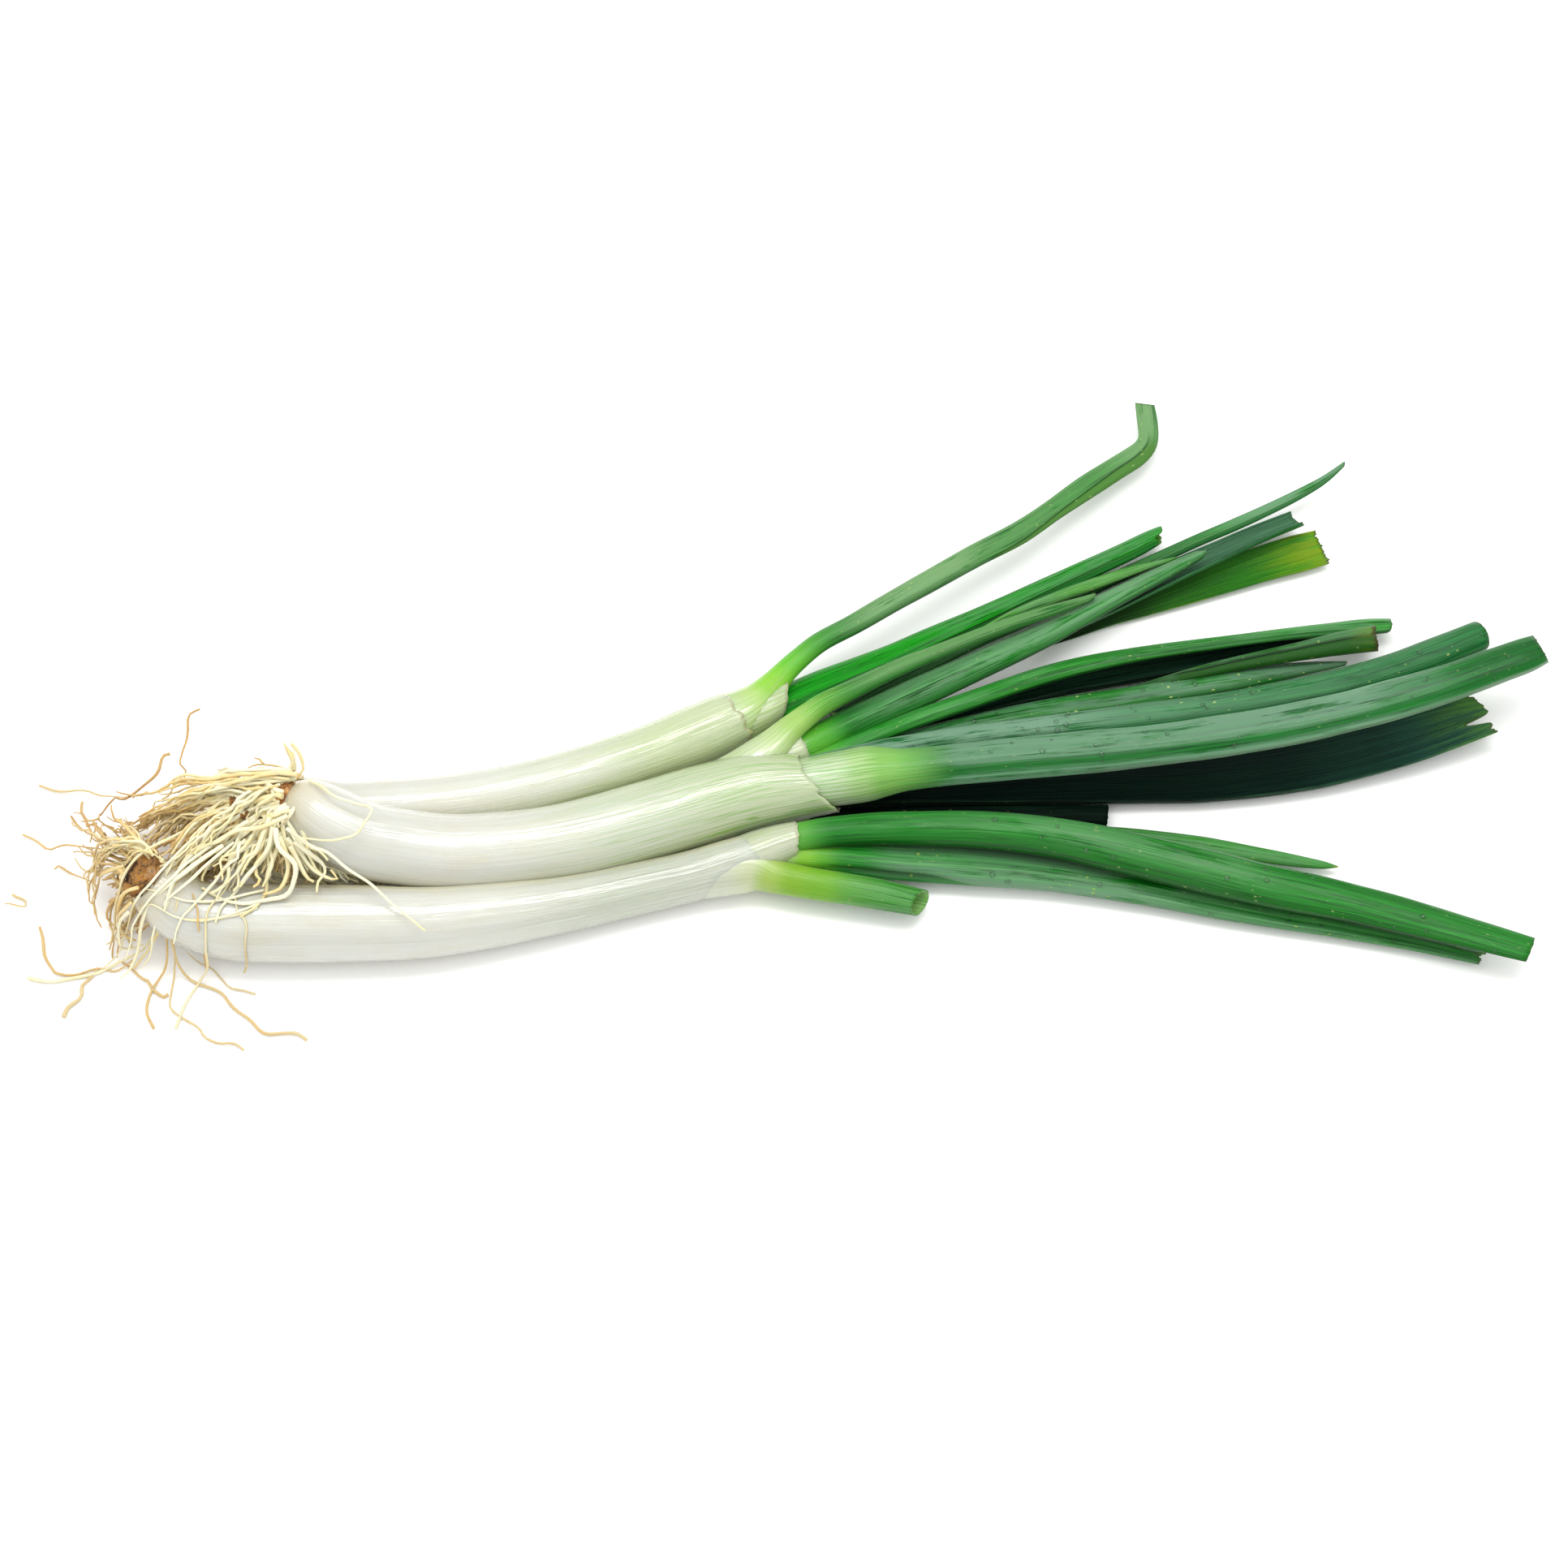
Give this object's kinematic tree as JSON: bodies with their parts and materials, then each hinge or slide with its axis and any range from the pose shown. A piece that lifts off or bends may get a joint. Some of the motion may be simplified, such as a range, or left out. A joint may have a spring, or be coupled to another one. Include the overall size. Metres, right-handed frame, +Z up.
{
  "type": "spring onion bunch",
  "caption": "Spring onions lying side by side in a loose bunch: glossy white shanks with root beards at one end and trimmed, hollow green leaves fanning out at the other.",
  "frame": {"origin": "bottom centre of the bunch's own box, on the surface it rests on", "axes": "+X along the bunch from the roots to the cut leaf ends, +Y towards the leaf that stands out at the back, +Z up"},
  "size_m": [0.4282, 0.2116, 0.0348],
  "materials": {
    "shank": "wet gloss, pearly white with faint green streaks",
    "plate": "matt, brown and earthy",
    "root": "matt cream",
    "sheath": "thin glossy skin, white to pale green",
    "leaf": "waxy satin",
    "pale_leaf": "waxy, with a pale bloom",
    "shaded_leaf": "waxy satin, dark",
    "yellow_leaf": "satin, yellow-green inner face"
  },
  "bodies": {
    "root": {"rear_shank": "shank", "rear_root_plate": "plate", "rear_root_tuft": "root", "middle_shank": "shank", "middle_root_plate": "plate", "middle_root_tuft": "root", "front_shank": "shank", "front_root_plate": "plate", "front_root_tuft": "root", "rear_neck_sheath": "sheath", "middle_outer_sheath": "sheath", "middle_inner_sheath": "sheath", "front_neck_sheath": "sheath", "rear_tall_leaf": "leaf", "rear_broad_leaf": "leaf", "middle_slim_leaf": "leaf", "middle_sliver_leaf": "leaf", "middle_long_leaf": "leaf", "middle_thin_leaf": "leaf", "front_cut_stub": "leaf", "front_slim_leaf": "leaf", "front_broad_leaf": "leaf", "front_tip_leaf": "leaf", "middle_split_leaf": "pale_leaf", "middle_side_leaf": "pale_leaf", "middle_high_leaf": "pale_leaf", "middle_main_leaf": "pale_leaf", "middle_folded_blade": "shaded_leaf", "middle_shaded_leaf": "shaded_leaf", "middle_under_leaf": "shaded_leaf", "middle_cut_stub": "shaded_leaf", "middle_yellow_blade": "yellow_leaf", "middle_curled_leaf": "yellow_leaf", "front_root_left": "root", "front_root_hook": "root", "front_root_pale": "root", "front_root_short": "root", "front_root_bent": "root", "front_root_looped": "root", "front_root_club": "root", "front_root_wavy": "root", "front_root_thin": "root", "rear_root_upright": "root", "rear_root_crooked": "root", "rear_root_faint": "root"}
  },
  "joints": []
}
